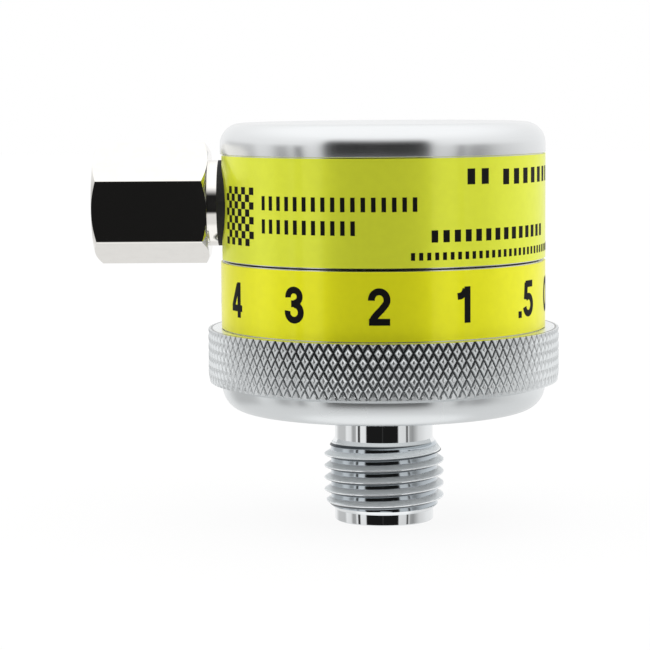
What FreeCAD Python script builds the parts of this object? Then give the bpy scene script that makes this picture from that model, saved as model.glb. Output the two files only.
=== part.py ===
"""Dial flowmeter for oxygen, in millimetres, with its outlet pointing down.

A housing stays fixed to the gas supply by the hex adapter at its side. A knurled dial turns
below it, on the journal of the outlet stem, and carries a steel plate of graded orifices past
a sprung seat in the housing. Two sprung balls drop into the plate at each flow setting.
The origin is on the dial's axis at the outlet's lower end, with +Z up and the inlet at -X.
"""
import FreeCAD, Part
import math
import os

from FreeCAD import Vector

# Flow settings, in litres a minute, in the order in which the turning dial reaches them.
FLOWS = (0.0, 0.5, 1.0, 2.0, 3.0, 4.0, 5.0, 6.0, 8.0, 10.0, 12.0, 15.0)
FULL_CIRCLE = 360.0
SETTING_STEP = FULL_CIRCLE / len(FLOWS)

# Clearances
running_clearance = 0.04
seal_clearance = 0.02
screw_clearance = 0.02
seat_clearance = 0.02
plate_clearance = 0.10
spigot_clearance = 0.10
parting_gap = 0.20
spigot_gap = 0.30

# Outlet stem
lead_radius = 5.85
lead_length = 1.9
lead_chamfer = 0.45
outlet_thread_radius = 7.1
outlet_thread_length = 6.8
thread_chamfer = 0.7
neck_radius = 5.8
neck_length = 4.7
outlet_bore_radius = 4.0
outlet_bore_depth = 8.5
gas_bore_radius = 2.1
cross_hole_radius = 1.0
journal_radius = 5.0
flange_recess = 0.2
flange_thickness = 1.4
flange_reach = 2.4
screw_radius = 4.0
screw_length = 8.5
screw_chamfer = 0.5

# Dial
skirt_fillet = 2.45
skirt_land = 0.15
knurl_chamfer = 0.7
knurl_height = 6.25
knurl_relief = 1.39
knurl_depth = 0.4
knurl_step = 0.1
knurl_diamonds = 114
knurl_levels = 6
band_height = 7.95
dial_wall = 3.55
rim_chamfer = 0.3
washer_thickness = 0.6
hub_height = 3.4
plenum_depth = 2.2
plate_ledge = 1.9

# Orifice plate, its pins and its retaining ring
plate_thickness = 1.0
port_spacing = 3.6
track_spacing = 3.3
plate_rim = 3.3
largest_orifice_radius = 0.42
detent_hole_radius = 0.8
pin_count = 3
pin_radius = 0.6
pin_inset = 0.95
pin_depth = 1.5
pin_angle = 45.0
ring_thickness = 0.8
ring_width = 1.45
ring_groove_depth = 0.65
ring_gap_angle = 14.0

# Housing
case_height = 12.25
cap_land = 1.1
cap_fillet = 2.5
tap_allowance = 0.5
port_height = 6.5
face_depth = 0.85
port_thread_length = 7.6
port_drill_radius = 2.2
passage_radius = 1.5
pocket_depth = 4.6
detent_bore_depth = 7.0

# Labels
label_thickness = 0.18
label_glue = 0.02
label_margin = 0.1
label_gap_angle = 11.5
label_hole_margin = 0.35

# Port seat and its disc spring
seat_radius = 2.6
seat_height = 2.9
seat_hole_radius = 0.9
seat_ring_section = 1.0
seat_groove_clearance = 0.15
disc_spring_thickness = 0.25
disc_spring_margin = 0.3

# Round seals
seal_section = 1.78
seal_groove_clearance = 0.22
spigot_seal_drop = 2.0

# Detent balls and springs
ball_radius = 1.25
spring_wire_radius = 0.2
spring_wire_sides = 8
spring_turns = 6

# Inlet adapter
washer_width = 1.0
inlet_washer_thickness = 1.05
inlet_neck_radius = 5.05
inlet_neck_length = 1.05
hex_sides = 6
hex_across_flats = 12.5
hex_length = 13.35
hex_chamfer = 0.55
hex_roll = 6.5
inlet_bore_radius = 4.35
inlet_bore_depth = 9.0
inlet_mouth_chamfer = 0.6
inlet_thread_radius = 4.0
filter_radius = 3.2
filter_thickness = 2.0

# Radii, built up from the journal to the outside
port_radius = journal_radius + port_spacing
detent_radius = port_radius + track_spacing
plate_radius = detent_radius + plate_rim
cup_radius = plate_radius + plate_clearance
band_radius = cup_radius + dial_wall
label_radius = band_radius + label_glue
body_radius = label_radius + label_thickness
knurl_root_radius = band_radius + knurl_relief
knurl_radius = knurl_root_radius + knurl_depth
plenum_radius = plate_radius - plate_ledge
hub_bore_radius = journal_radius + running_clearance
flange_radius = journal_radius + flange_reach
flange_pocket_radius = flange_radius + spigot_gap
spigot_radius = cup_radius - spigot_clearance
ring_outer_radius = cup_radius + ring_groove_depth
ring_inner_radius = cup_radius - ring_width
spigot_nose_radius = ring_inner_radius - spigot_gap
pin_circle_radius = plate_radius - pin_inset
pocket_radius = seat_radius + running_clearance
tap_radius = screw_radius + screw_clearance
ball_bore_radius = ball_radius + running_clearance

# Heights, built up from the outlet's lower end
z_thread = lead_length
z_neck = z_thread + outlet_thread_length
z_dial = z_neck + neck_length
z_flange = z_dial + flange_recess
z_flange_top = z_flange + flange_thickness
z_hub = z_flange_top + washer_thickness + seat_clearance
z_plenum = z_hub + hub_height
z_plate = z_plenum + plenum_depth
z_plate_top = z_plate + plate_thickness
z_ring_top = z_plate_top + ring_thickness
z_spigot = z_plate_top + spigot_gap
z_spigot_step = z_ring_top + spigot_gap
z_knurl = z_dial + skirt_fillet + skirt_land + knurl_chamfer
z_band = z_knurl + knurl_height
z_dial_top = z_band + band_height
z_case = z_dial_top + parting_gap
z_cap = z_case + case_height
z_top = z_cap + cap_land + cap_fillet
z_port = z_case + port_height
z_pocket = z_spigot + pocket_depth
z_detent = z_spigot + detent_bore_depth
z_screw_top = z_spigot + screw_length

# The ball rests on the rim of a detent hole.
z_ball = z_plate_top + math.sqrt(ball_radius ** 2 - detent_hole_radius ** 2) + seat_clearance

# Places along the inlet, which points to -X
x_face = face_depth - body_radius
x_neck = x_face - inlet_washer_thickness
x_hex = x_neck - inlet_neck_length
x_mouth = x_hex - hex_length
x_port_end = x_face + port_thread_length

AXIS = Vector(0, 0, 1)
OUTWARD = Vector(-1, 0, 0)
INWARD = Vector(1, 0, 0)


def revolved(profile):
    """Turn a closed outline of (radius, height) points about the Z axis."""
    corners = [Vector(radius, 0, height) for radius, height in profile]
    outline = Part.makePolygon(corners + corners[:1])
    return Part.Face(outline).revolve(Vector(), AXIS, FULL_CIRCLE)


def about_inlet(profile):
    """Turn a closed outline of (radius, x) points about the inlet's axis."""
    corners = [Vector(x, 0, z_port + radius) for radius, x in profile]
    outline = Part.makePolygon(corners + corners[:1])
    return Part.Face(outline).revolve(Vector(0, 0, z_port), INWARD, FULL_CIRCLE)


def upright_cylinder(radius, bottom, top, x=0.0, y=0.0):
    """Solid cylinder between two heights."""
    return Part.makeCylinder(radius, top - bottom, Vector(x, y, bottom), AXIS)


def inlet_cylinder(radius, outer_end, inner_end):
    """Solid cylinder on the inlet's axis between two x places."""
    return Part.makeCylinder(radius, inner_end - outer_end, Vector(outer_end, 0, z_port), INWARD)


def flat_ring(inner, outer, bottom, top):
    """Washer-shaped solid on the dial's axis."""
    return revolved([(inner, bottom), (outer, bottom), (outer, top), (inner, top)])


def on_circle(radius, angle):
    """Point at an angle in degrees on a circle about the dial's axis."""
    turn = math.radians(angle)
    return radius * math.cos(turn), radius * math.sin(turn)


def circle_edges(solid, radius, height):
    """Edges of a solid that are level circles of one radius at one height."""
    found = []
    for edge in solid.Edges:
        curve = edge.Curve
        if isinstance(curve, Part.Circle):
            same_size = math.isclose(curve.Radius, radius, abs_tol=1e-6)
            same_level = math.isclose(curve.Center.z, height, abs_tol=1e-6)
            if same_size and same_level:
                found.append(edge)
    return found


def seal_ring(inner_radius, section, height):
    """Round rubber ring lying level about the dial's axis."""
    return Part.makeTorus(inner_radius + section / 2, section / 2, Vector(0, 0, height), AXIS)


def journal_seal_height():
    """Middle of the groove that the hub covers."""
    return z_hub + hub_height / 2


def spigot_seal_height():
    """Middle of the groove below the parting line."""
    return z_dial_top - spigot_seal_drop


def groove(solid, bottom_radius, outer_radius, height, width):
    """Cut a square groove round the outside of a turned solid."""
    return solid.cut(flat_ring(bottom_radius, outer_radius, height - width / 2, height + width / 2))


def journal_groove_radius():
    """Bottom of the journal's groove, which the ring fills up to the hub bore."""
    return hub_bore_radius - seal_clearance - seal_section


def spigot_groove_radius():
    """Bottom of the spigot's groove, which the ring fills up to the dial's cup."""
    return cup_radius - seal_clearance - seal_section


def seat_groove_radius():
    """Bottom of the seat's groove, which the ring fills up to the pocket's wall."""
    return pocket_radius - seal_clearance - seat_ring_section


def make_outlet_stem():
    """Turned stem: outlet thread, neck, flange, journal and the screw that holds it up."""
    z_cone = outlet_bore_depth
    z_cone_top = z_cone + outlet_bore_radius - gas_bore_radius
    z_bore_top = z_plate
    z_drill_tip = z_bore_top + gas_bore_radius / 2
    stem = revolved([
        (outlet_bore_radius, 0),
        (lead_radius - lead_chamfer, 0),
        (lead_radius, lead_chamfer),
        (lead_radius, z_thread),
        (outlet_thread_radius - thread_chamfer, z_thread),
        (outlet_thread_radius, z_thread + thread_chamfer),
        (outlet_thread_radius, z_neck - thread_chamfer),
        (outlet_thread_radius - thread_chamfer, z_neck),
        (neck_radius, z_neck),
        (neck_radius, z_flange),
        (flange_radius, z_flange),
        (flange_radius, z_flange_top),
        (journal_radius, z_flange_top),
        (journal_radius, z_spigot),
        (screw_radius, z_spigot),
        (screw_radius, z_screw_top - screw_chamfer),
        (screw_radius - screw_chamfer, z_screw_top),
        (0, z_screw_top),
        (0, z_drill_tip),
        (gas_bore_radius, z_bore_top),
        (gas_bore_radius, z_cone_top),
        (outlet_bore_radius, z_cone),
    ])
    width = seal_section + seal_groove_clearance
    stem = groove(stem, journal_groove_radius(), flange_radius, journal_seal_height(), width)
    z_cross = z_plenum + plenum_depth / 2
    for direction in (Vector(1, 0, 0), Vector(0, 1, 0)):
        start = Vector(0, 0, z_cross) - direction * flange_radius
        stem = stem.cut(Part.makeCylinder(cross_hole_radius, 2 * flange_radius, start, direction))
    return stem


def make_hub_o_ring():
    """Seal between the journal and the dial's hub."""
    return seal_ring(journal_groove_radius(), seal_section, journal_seal_height())


def make_thrust_washer():
    """Washer that carries the dial on the stem's flange."""
    top = z_flange_top + seat_clearance + washer_thickness
    return flat_ring(hub_bore_radius, flange_radius, z_flange_top + seat_clearance, top)


def knurl_point(column, level):
    """Point of the knurl's net, which is a groove crossing or a diamond's peak in turn."""
    angle = column * FULL_CIRCLE / (2 * knurl_diamonds)
    at_edge = level in (0, knurl_levels)
    is_crossing = (column + level) % 2 == 0
    radius = knurl_root_radius if at_edge or is_crossing else knurl_radius
    x, y = on_circle(radius, angle)
    return Vector(x, y, z_knurl + level * knurl_height / knurl_levels)


def facet(*corners):
    """Flat face through three or more points."""
    return Part.Face(Part.makePolygon([*corners, corners[0]]))


def knurl_cell(column, level):
    """Two facets of a net cell, which meet along the groove that crosses it."""
    low_left = knurl_point(column, level)
    low_right = knurl_point(column + 1, level)
    high_left = knurl_point(column, level + 1)
    high_right = knurl_point(column + 1, level + 1)
    if (column + level) % 2 == 0:
        return [facet(low_left, low_right, high_right), facet(low_left, high_right, high_left)]
    return [facet(low_left, low_right, high_left), facet(low_right, high_right, high_left)]


def make_knurl():
    """Solid disc whose rim carries the diamonds left by two crossed sets of helical grooves."""
    columns = range(2 * knurl_diamonds)
    faces = []
    for column in columns:
        for level in range(knurl_levels):
            faces += knurl_cell(column, level)
    for level in (0, knurl_levels):
        faces.append(facet(*[knurl_point(column, level) for column in columns]))
    shell = Part.makeShell(faces)
    shell.sewShape()
    return Part.makeSolid(shell.Shells[0])


def dial_blank():
    """Outside of the dial before its bores: skirt, knurled flange and label band."""
    blank = revolved([
        (0, z_dial),
        (body_radius, z_dial),
        (body_radius, z_knurl - knurl_chamfer),
        (knurl_root_radius - knurl_step, z_knurl),
        (band_radius, z_knurl),
        (band_radius, z_dial_top),
        (0, z_dial_top),
    ])
    blank = blank.makeFillet(skirt_fillet, circle_edges(blank, body_radius, z_dial))
    return blank.fuse(make_knurl())


def dial_bores():
    """Inside of the dial: cup, ring groove, plate ledge, plenum, hub bore and flange pocket."""
    groove_radius = ring_outer_radius + running_clearance
    z_groove_top = z_ring_top + seat_clearance
    return revolved([
        (0, z_dial),
        (flange_pocket_radius, z_dial),
        (flange_pocket_radius, z_hub),
        (hub_bore_radius, z_hub),
        (hub_bore_radius, z_plenum),
        (plenum_radius, z_plenum),
        (plenum_radius, z_plate),
        (cup_radius, z_plate),
        (cup_radius, z_plate_top),
        (groove_radius, z_plate_top),
        (groove_radius, z_groove_top),
        (cup_radius, z_groove_top),
        (cup_radius, z_dial_top - rim_chamfer),
        (cup_radius + rim_chamfer, z_dial_top),
        (0, z_dial_top),
    ])


def make_dial():
    """Turned and knurled dial, with holes for the pins in its plate ledge."""
    return dial_blank().cut(dial_bores()).cut(make_plate_pins())


def make_dial_label():
    """Printed band with the flow settings, wrapped round the dial."""
    return flat_ring(label_radius, body_radius, z_band + label_margin, z_dial_top - label_margin)


def make_orifice_plate():
    """Steel plate with one graded orifice and one detent hole for each setting."""
    hole_radius = journal_radius + spigot_gap
    plate = flat_ring(hole_radius, plate_radius, z_plate, z_plate_top)
    for index, flow in enumerate(FLOWS):
        angle = FULL_CIRCLE / 2 - index * SETTING_STEP
        x, y = on_circle(detent_radius, angle)
        plate = plate.cut(upright_cylinder(detent_hole_radius, z_plate, z_plate_top, x, y))
        if flow > 0:
            x, y = on_circle(port_radius, angle)
            radius = largest_orifice_radius * math.sqrt(flow / FLOWS[-1])
            plate = plate.cut(upright_cylinder(radius, z_plate, z_plate_top, x, y))
    return plate.cut(make_plate_pins())


def make_plate_pins():
    """Pins that turn the plate with the dial."""
    pins = []
    for index in range(pin_count):
        x, y = on_circle(pin_circle_radius, pin_angle + index * FULL_CIRCLE / pin_count)
        pins.append(upright_cylinder(pin_radius, z_plate - pin_depth, z_plate_top, x, y))
    return Part.makeCompound(pins)


def make_plate_ring():
    """Open spring ring that holds the plate down on its ledge."""
    corners = [
        Vector(ring_inner_radius, 0, z_plate_top),
        Vector(ring_outer_radius, 0, z_plate_top),
        Vector(ring_outer_radius, 0, z_ring_top),
        Vector(ring_inner_radius, 0, z_ring_top),
    ]
    section = Part.Face(Part.makePolygon(corners + corners[:1]))
    ring = section.revolve(Vector(), AXIS, FULL_CIRCLE - ring_gap_angle)
    ring.rotate(Vector(), AXIS, ring_gap_angle / 2)
    return ring


def detent_places():
    """Front and rear detents, opposite each other on the detent circle."""
    return {
        "front": on_circle(detent_radius, -FULL_CIRCLE / 4),
        "rear": on_circle(detent_radius, FULL_CIRCLE / 4),
    }


def make_housing():
    """Turned housing: cap, label band and a spigot that fills the dial's cup."""
    housing = revolved([
        (0, z_top),
        (body_radius, z_top),
        (body_radius, z_cap),
        (band_radius, z_cap),
        (band_radius, z_case),
        (spigot_radius, z_case),
        (spigot_radius, z_spigot_step),
        (spigot_nose_radius, z_spigot_step),
        (spigot_nose_radius, z_spigot),
        (tap_radius, z_spigot),
        (tap_radius, z_screw_top + tap_allowance),
        (0, z_screw_top + tap_allowance + tap_radius / 2),
    ])
    housing = housing.makeFillet(cap_fillet, circle_edges(housing, body_radius, z_top))
    width = seal_section + seal_groove_clearance
    housing = groove(housing, spigot_groove_radius(), cup_radius, spigot_seal_height(), width)
    housing = housing.cut(inlet_passages())
    for x, y in detent_places().values():
        housing = housing.cut(upright_cylinder(ball_bore_radius, z_spigot, z_detent, x, y))
    return housing


def inlet_passages():
    """Spot face, tapped port and drillings that lead the gas down to the seat."""
    port_tap_radius = inlet_thread_radius + screw_clearance
    spot_face = inlet_cylinder(inlet_neck_radius + spigot_gap, x_face - body_radius, x_face)
    port = inlet_cylinder(port_tap_radius, x_face, x_port_end)
    drilling = inlet_cylinder(port_drill_radius, x_face, passage_radius - port_radius)
    passage = upright_cylinder(passage_radius, z_spigot, z_port, -port_radius)
    pocket = upright_cylinder(pocket_radius, z_spigot, z_pocket, -port_radius)
    return spot_face.fuse([port, drilling, passage, pocket])


def make_housing_label():
    """Printed band round the housing, open at the inlet and cut round its washer."""
    corners = [
        Vector(-label_radius, 0, z_case + label_margin),
        Vector(-body_radius, 0, z_case + label_margin),
        Vector(-body_radius, 0, z_cap - label_margin),
        Vector(-label_radius, 0, z_cap - label_margin),
    ]
    section = Part.Face(Part.makePolygon(corners + corners[:1]))
    label = section.revolve(Vector(), AXIS, FULL_CIRCLE - 2 * label_gap_angle)
    label.rotate(Vector(), AXIS, label_gap_angle)
    hole_radius = inlet_neck_radius + spigot_gap + label_hole_margin
    return label.cut(inlet_cylinder(hole_radius, -2 * body_radius, 0))


def make_spigot_o_ring():
    """Seal between the spigot and the dial's cup."""
    return seal_ring(spigot_groove_radius(), seal_section, spigot_seal_height())


def make_port_seat():
    """Plastic seat that rubs on the plate and passes gas to one orifice."""
    bottom = z_plate_top + seat_clearance
    seat = flat_ring(seat_hole_radius, seat_radius, bottom, bottom + seat_height)
    width = seat_ring_section + seat_groove_clearance
    seat = groove(seat, seat_groove_radius(), pocket_radius, seat_ring_height(), width)
    return moved_to_port(seat)


def seat_ring_height():
    """Middle of the groove round the port seat."""
    return z_plate_top + seat_clearance + seat_height / 2


def make_seat_o_ring():
    """Seal between the port seat and its pocket."""
    return moved_to_port(seal_ring(seat_groove_radius(), seat_ring_section, seat_ring_height()))


def make_seat_spring():
    """Disc spring that presses the port seat on the plate."""
    bottom = z_plate_top + seat_clearance + seat_height
    top = z_pocket - disc_spring_thickness
    inner = passage_radius + disc_spring_margin
    spring = revolved([
        (inner, bottom),
        (inner + disc_spring_thickness, bottom),
        (seat_radius, top),
        (seat_radius, z_pocket),
        (seat_radius - disc_spring_thickness, z_pocket),
        (inner, bottom + disc_spring_thickness),
    ])
    return moved_to_port(spring)


def moved_to_port(solid):
    """Move a turned solid from the dial's axis to the port."""
    solid.translate(Vector(-port_radius, 0, 0))
    return solid


def make_detent_ball(place):
    """Steel ball that rests in a detent hole of the plate."""
    x, y = place
    return Part.makeSphere(ball_radius, Vector(x, y, z_ball))


def make_detent_spring(place):
    """Wound spring between a ball and the top of its bore."""
    x, y = place
    coil_radius = ball_bore_radius - running_clearance - spring_wire_radius
    contact = math.sqrt((ball_radius + spring_wire_radius) ** 2 - coil_radius ** 2)
    bottom = z_ball + contact + seat_clearance
    height = z_detent - spring_wire_radius - bottom
    section = []
    for index in range(spring_wire_sides):
        across, up = on_circle(spring_wire_radius, index * FULL_CIRCLE / spring_wire_sides)
        section.append(Vector(coil_radius + across, 0, up))
    path = Part.makeHelix(height / spring_turns, height, coil_radius)
    wire = Part.makePolygon(section + section[:1])
    spring = Part.Wire(path).makePipeShell([wire], True, True)
    spring.translate(Vector(x, y, bottom))
    return spring


def make_inlet_adapter():
    """Hexagonal adapter with a tapped mouth, a neck and a screwed end."""
    x_end = x_port_end - tap_allowance
    shank = about_inlet([
        (0, x_hex),
        (inlet_neck_radius, x_hex),
        (inlet_neck_radius, x_neck),
        (inlet_thread_radius, x_neck),
        (inlet_thread_radius, x_end - screw_chamfer),
        (inlet_thread_radius - screw_chamfer, x_end),
        (0, x_end),
    ])
    return adapter_hexagon().fuse(shank).removeSplitter().cut(adapter_bores(x_end))


def adapter_hexagon():
    """Spanner hexagon, rolled as it came to rest when tightened, with turned corners."""
    half_side = FULL_CIRCLE / hex_sides / 2
    flat_radius = hex_across_flats / 2
    corner_radius = flat_radius / math.cos(math.radians(half_side))
    corners = []
    for index in range(hex_sides):
        y, z = on_circle(corner_radius, hex_roll + (2 * index + 1) * half_side)
        corners.append(Vector(x_mouth, y, z_port + z))
    bar = facet(*corners).extrude(INWARD * hex_length)
    envelope = about_inlet([
        (0, x_mouth),
        (flat_radius, x_mouth),
        (corner_radius, x_mouth + hex_chamfer),
        (corner_radius, x_hex - hex_chamfer),
        (flat_radius, x_hex),
        (0, x_hex),
    ])
    return bar.common(envelope)


def adapter_bores(x_end):
    """Mouth, filter seat and gas bore of the adapter, as one cutter."""
    x_bore = x_mouth + inlet_bore_depth
    return about_inlet([
        (0, x_mouth),
        (inlet_bore_radius + inlet_mouth_chamfer, x_mouth),
        (inlet_bore_radius, x_mouth + inlet_mouth_chamfer),
        (inlet_bore_radius, x_bore),
        (filter_radius, x_bore),
        (filter_radius, x_bore + filter_thickness),
        (gas_bore_radius, x_bore + filter_thickness),
        (gas_bore_radius, x_end),
        (0, x_end),
    ])


def make_inlet_filter():
    """Sintered disc pressed in behind the mouth."""
    x_filter = x_mouth + inlet_bore_depth
    return inlet_cylinder(filter_radius, x_filter, x_filter + filter_thickness)


def make_inlet_washer():
    """Black sealing washer between the adapter's neck and the spot face."""
    inner = inlet_thread_radius + screw_clearance
    return inlet_cylinder(inner + washer_width, x_neck, x_face).cut(inlet_cylinder(inner, x_neck, x_face))


def make_parts():
    """Every piece of the flowmeter by its node name."""
    parts = {
        "housing": make_housing(),
        "housing_label": make_housing_label(),
        "outlet_stem": make_outlet_stem(),
        "inlet_adapter": make_inlet_adapter(),
        "inlet_washer": make_inlet_washer(),
        "inlet_filter": make_inlet_filter(),
        "port_seat": make_port_seat(),
        "seat_o_ring": make_seat_o_ring(),
        "seat_spring": make_seat_spring(),
        "spigot_o_ring": make_spigot_o_ring(),
        "hub_o_ring": make_hub_o_ring(),
        "dial": make_dial(),
        "dial_label": make_dial_label(),
        "orifice_plate": make_orifice_plate(),
        "plate_pins": make_plate_pins(),
        "plate_ring": make_plate_ring(),
        "thrust_washer": make_thrust_washer(),
    }
    for side, place in detent_places().items():
        parts[f"detent_ball_{side}"] = make_detent_ball(place)
        parts[f"detent_spring_{side}"] = make_detent_spring(place)
    return parts


os.makedirs("parts", exist_ok=True)
for node, shape in make_parts().items():
    shape.exportStep(f"parts/{node}.step")
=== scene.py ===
"""Looks of a compact oxygen flowmeter: turned case, knurled dial, printed bands and plated fittings."""

import logging
import math
from collections.abc import Callable
from dataclasses import dataclass
from enum import Enum

import bmesh
import bpy
import numpy as np
from mathutils import Euler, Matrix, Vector


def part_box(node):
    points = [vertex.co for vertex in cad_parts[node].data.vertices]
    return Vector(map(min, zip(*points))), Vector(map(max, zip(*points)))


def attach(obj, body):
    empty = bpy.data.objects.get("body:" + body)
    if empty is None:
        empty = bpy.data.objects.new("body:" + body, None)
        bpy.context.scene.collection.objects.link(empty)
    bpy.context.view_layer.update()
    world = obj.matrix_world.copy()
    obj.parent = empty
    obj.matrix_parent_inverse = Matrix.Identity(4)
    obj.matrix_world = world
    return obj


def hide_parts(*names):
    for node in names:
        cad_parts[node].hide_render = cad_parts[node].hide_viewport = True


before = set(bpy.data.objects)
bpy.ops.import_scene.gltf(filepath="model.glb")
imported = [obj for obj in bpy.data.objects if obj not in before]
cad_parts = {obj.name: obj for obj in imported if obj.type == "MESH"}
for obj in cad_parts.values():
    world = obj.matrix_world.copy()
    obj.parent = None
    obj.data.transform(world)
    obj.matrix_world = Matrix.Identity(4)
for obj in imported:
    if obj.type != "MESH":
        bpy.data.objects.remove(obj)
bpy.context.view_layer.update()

MM = 0.001
TURN = 2 * math.pi
WELD = 2e-7
SHARP_ANGLE = 28.0
LOG = logging.getLogger("flowmeter")

# Places and sizes in millimetres and degrees that more than one piece or finish shares.
BODY_RADIUS = 19.05
BAND_RADIUS = 18.85
FILM_BACK = 18.87
KNURL_ROOT = 20.22
KNURL_CREST = 20.64
THREAD_PITCH = 1.4111
CREST_HEIGHT = 6.35
INLET_HEIGHT = 37.60
INDEX_ANGLE = -1.3

Colour = tuple[float, float, float]
Line = list[tuple[float, float]]
Turning = Callable[[np.ndarray, np.ndarray, np.ndarray], np.ndarray]

WHITE: Colour = (1.0, 1.0, 1.0)


# Shader maths


class Socket:
    """Output of a shader node that takes part in Python arithmetic; each operator adds a Math node."""

    def __init__(self, graph: "Graph", output: bpy.types.NodeSocket) -> None:
        """Keep the graph and the node's output."""
        self.graph = graph
        self.output = output

    def sibling(self, name: str) -> "Socket":
        """Another output of the same node."""
        return Socket(self.graph, self.output.node.outputs[name])

    def maths(self, operation: str, *values: "Socket | float") -> "Socket":
        """Run one Math operation on these values.

        Args:
            operation: name of the Math node's operation.
            values: numbers or sockets in the node's order.

        Returns:
            The node's output.
        """
        return self.graph.node("ShaderNodeMath", {"operation": operation}, dict(enumerate(values)))

    def fraction(self) -> "Socket":
        """What is left over a whole number."""
        return self.maths("FRACT", self)

    def __add__(self, other: "Socket | float") -> "Socket":
        """Sum."""
        return self.maths("ADD", self, other)

    __radd__ = __add__

    def __sub__(self, other: "Socket | float") -> "Socket":
        """Difference."""
        return self.maths("SUBTRACT", self, other)

    def __rsub__(self, other: float) -> "Socket":
        """Difference from a number."""
        return self.maths("SUBTRACT", other, self)

    def __mul__(self, other: "Socket | float") -> "Socket":
        """Product."""
        return self.maths("MULTIPLY", self, other)

    __rmul__ = __mul__

    def __truediv__(self, other: "Socket | float") -> "Socket":
        """Quotient."""
        return self.maths("DIVIDE", self, other)

    def __rtruediv__(self, other: float) -> "Socket":
        """Quotient of a number."""
        return self.maths("DIVIDE", other, self)

    def step(self, low: float, high: float, start: float = 0.0, end: float = 1.0) -> "Socket":
        """Rise smoothly from start to end while this value goes from low to high."""
        settings = {"interpolation_type": "SMOOTHSTEP"}
        values = {"Value": self, "From Min": low, "From Max": high, "To Min": start, "To Max": end}
        return self.graph.node("ShaderNodeMapRange", settings, values)


class Graph:
    """Node tree of a material or of the world."""

    def __init__(self, owner: bpy.types.Material | bpy.types.World) -> None:
        """Take over the owner's nodes and empty them."""
        owner.use_nodes = True
        self.tree = owner.node_tree
        self.tree.nodes.clear()

    def node(
        self,
        kind: str,
        settings: dict[str, object] | None = None,
        inputs: dict[int | str, object] | None = None,
        output: int | str = 0,
    ) -> Socket:
        """Add one node.

        Args:
            kind: the node's type.
            settings: attributes that are set first; stops fill a colour ramp.
            inputs: numbers, colours or sockets by input name or place.
            output: which output to return.

        Returns:
            The output as a socket.
        """
        made = self.tree.nodes.new(kind)
        for key, value in (settings or {}).items():
            if key == "stops":
                fill_ramp(made.color_ramp, value)
            else:
                setattr(made, key, value)
        for key, value in (inputs or {}).items():
            if isinstance(value, Socket):
                self.tree.links.new(value.output, made.inputs[key])
            else:
                made.inputs[key].default_value = value
        return Socket(self, made.outputs[output])

    def blend(self, share: Socket | float, first: object, second: object) -> Socket:
        """Mix two colours by a share."""
        return self.node("ShaderNodeMix", {"data_type": "RGBA"}, {0: share, 6: first, 7: second}, 2)

    def place(self) -> Socket:
        """Object coordinates."""
        return self.node("ShaderNodeTexCoord", output="Object")

    def split(self, vector: Socket) -> tuple[Socket, Socket, Socket]:
        """X, Y and Z of a vector."""
        first = self.node("ShaderNodeSeparateXYZ", inputs={0: vector})
        return first, first.sibling("Y"), first.sibling("Z")

    def join(self, x: object, y: object, z: object) -> Socket:
        """Vector of three values."""
        return self.node("ShaderNodeCombineXYZ", inputs={0: x, 1: y, 2: z})

    def noise(self, vector: Socket, scale: float, detail: float = 2.0, w: Socket | None = None) -> Socket:
        """Noise between 0 and 1; a fourth coordinate stretches it along circles."""
        settings = {"noise_dimensions": "3D" if w is None else "4D"}
        inputs: dict[int | str, object] = {"Vector": vector, "Scale": scale, "Detail": detail}
        if w is not None:
            inputs["W"] = w
        return self.node("ShaderNodeTexNoise", settings, inputs)

    def from_axis(self, x: Socket, y: Socket) -> Socket:
        """Distance from the dial's axis."""
        return self.node("ShaderNodeVectorMath", {"operation": "LENGTH"}, {0: self.join(x, y, 0.0)}, "Value")

    def bump(self, height: Socket, strength: float, distance: float) -> Socket:
        """Normal of a height pattern."""
        inputs = {"Height": height, "Strength": strength, "Distance": distance}
        return self.node("ShaderNodeBump", None, inputs)

    def finish(self, shader: Socket, kind: str = "ShaderNodeOutputMaterial") -> None:
        """Link the shader to the tree's output node."""
        made = self.tree.nodes.new(kind)
        self.tree.links.new(shader.output, made.inputs["Surface"])


def fill_ramp(ramp: bpy.types.ColorRamp, stops: Line) -> None:
    """Give a grey ramp its stops.

    Args:
        ramp: the ramp to fill.
        stops: places between 0 and 1 with their grey levels.
    """
    while len(ramp.elements) > 1:
        ramp.elements.remove(ramp.elements[-1])
    for index, (place, level) in enumerate(stops):
        element = ramp.elements[0] if index == 0 else ramp.elements.new(place)
        element.position = place
        element.color = (level, level, level, 1.0)


def opaque(colour: Colour, share: float = 1.0, lift: float = 0.0) -> tuple[float, float, float, float]:
    """Colour with full alpha, scaled by a share, lifted and held at 1."""
    return (*(min(1.0, share * level + lift) for level in colour), 1.0)


# Finishes


@dataclass(frozen=True)
class Finish:
    """Finish of a piece; each kind works out the inputs of its surface."""

    name: str

    def inputs(self, graph: Graph) -> dict[str, object]:
        """Values and sockets of the surface by input name."""
        raise NotImplementedError

    def material(self) -> bpy.types.Material:
        """Make the material."""
        made = bpy.data.materials.new(self.name)
        graph = Graph(made)
        graph.finish(graph.node("ShaderNodeBsdfPrincipled", None, self.inputs(graph)))
        return made


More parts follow.
